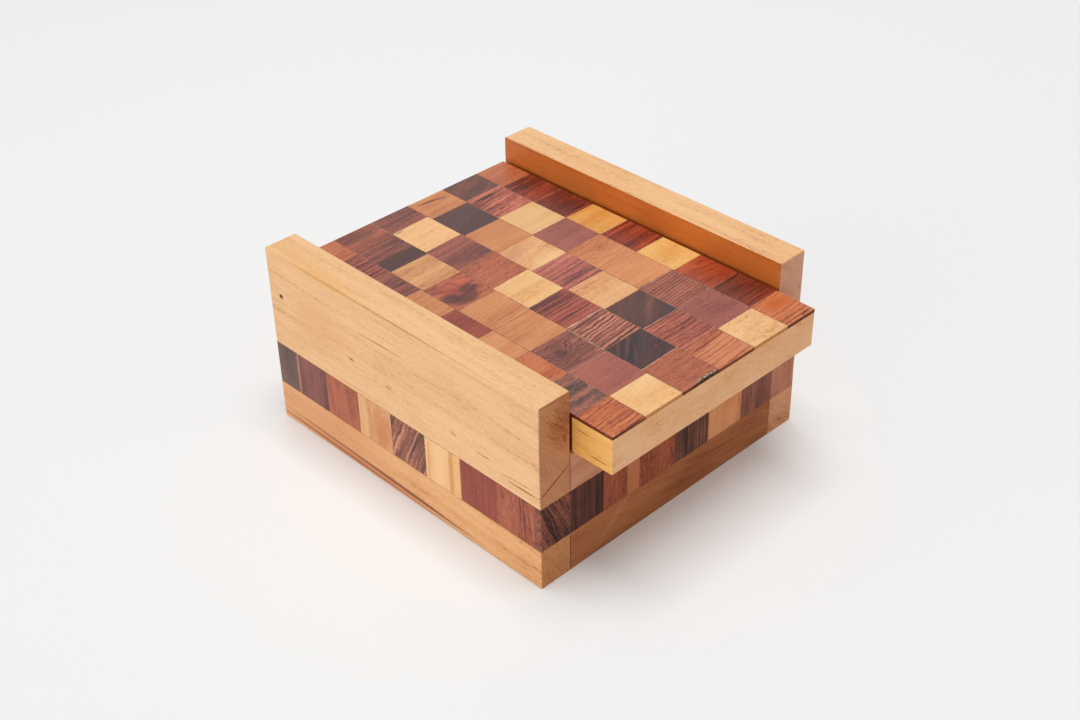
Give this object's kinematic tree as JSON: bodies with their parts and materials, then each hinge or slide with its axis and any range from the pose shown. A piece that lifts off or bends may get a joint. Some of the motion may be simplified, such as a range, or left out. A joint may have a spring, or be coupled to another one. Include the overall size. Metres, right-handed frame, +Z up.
{
  "type": "hinged box",
  "caption": "Small lidded wooden box with a checkered mixed-wood lid that turns on hidden pins between raised side boards.",
  "frame": {"origin": "middle of the box's underside, halfway between the side boards' outer faces and between the front and rear walls' outer faces; the lid's overhang isn't counted", "axes": "+X to the right side board, +Y to the back, where the hinge pins are, +Z up"},
  "size_m": [0.147, 0.1744, 0.083],
  "materials": {
    "maple": "light straw-coloured wood, satin lacquer",
    "birch": "pale tan wood with fine pores, satin lacquer",
    "cherry": "orange-tan wood with soft grain lines, satin lacquer",
    "mahogany": "plain red-brown wood, satin lacquer",
    "padauk": "deep orange-red wood, satin lacquer",
    "rosewood": "red-brown wood with dark stripes, satin lacquer",
    "purpleheart": "plain purple-brown wood, satin lacquer",
    "ebony": "near-black wood with thin red streaks, satin lacquer",
    "pin_steel": "cut nail end, dull"
  },
  "bodies": {
    "box": {"left_base_strip": "maple", "left_block_1": "ebony", "left_block_2": "mahogany", "left_block_3": "padauk", "left_block_4": "maple", "left_block_5": "rosewood", "left_block_6": "cherry", "left_block_7": "mahogany", "left_block_8": "purpleheart", "left_block_9": "ebony", "left_upper_board": "maple", "right_base_strip": "maple", "right_block_1": "padauk", "right_block_2": "maple", "right_block_3": "purpleheart", "right_block_4": "cherry", "right_block_5": "rosewood", "right_block_6": "birch", "right_block_7": "mahogany", "right_block_8": "ebony", "right_block_9": "cherry", "right_upper_board": "maple", "front_base_strip": "cherry", "front_block_1": "ebony", "front_block_2": "mahogany", "front_block_3": "padauk", "front_block_4": "rosewood", "front_block_5": "cherry", "front_block_6": "purpleheart", "front_top_strip": "cherry", "rear_base_strip": "cherry", "rear_block_1": "cherry", "rear_block_2": "rosewood", "rear_block_3": "maple", "rear_block_4": "mahogany", "rear_block_5": "ebony", "rear_block_6": "birch", "rear_top_strip": "cherry", "bottom_panel": "birch", "left_hinge_pin": "pin_steel", "right_hinge_pin": "pin_steel"},
    "lid": {"lid_core_board": "maple", "lid_tile_strip_1": "padauk", "lid_tile_strip_2": "cherry", "lid_tile_strip_3": "mahogany", "lid_tile_strip_4": "birch", "lid_tile_strip_5": "purpleheart", "lid_tile_strip_6": "rosewood"}
  },
  "joints": [
    {"name": "lid_hinge", "type": "hinge", "parent": "box", "child": "lid", "pos_m": [0, 0.07035, 0.06275], "axis": [-1, 0, 0], "range_deg": [0, 95]}
  ]
}
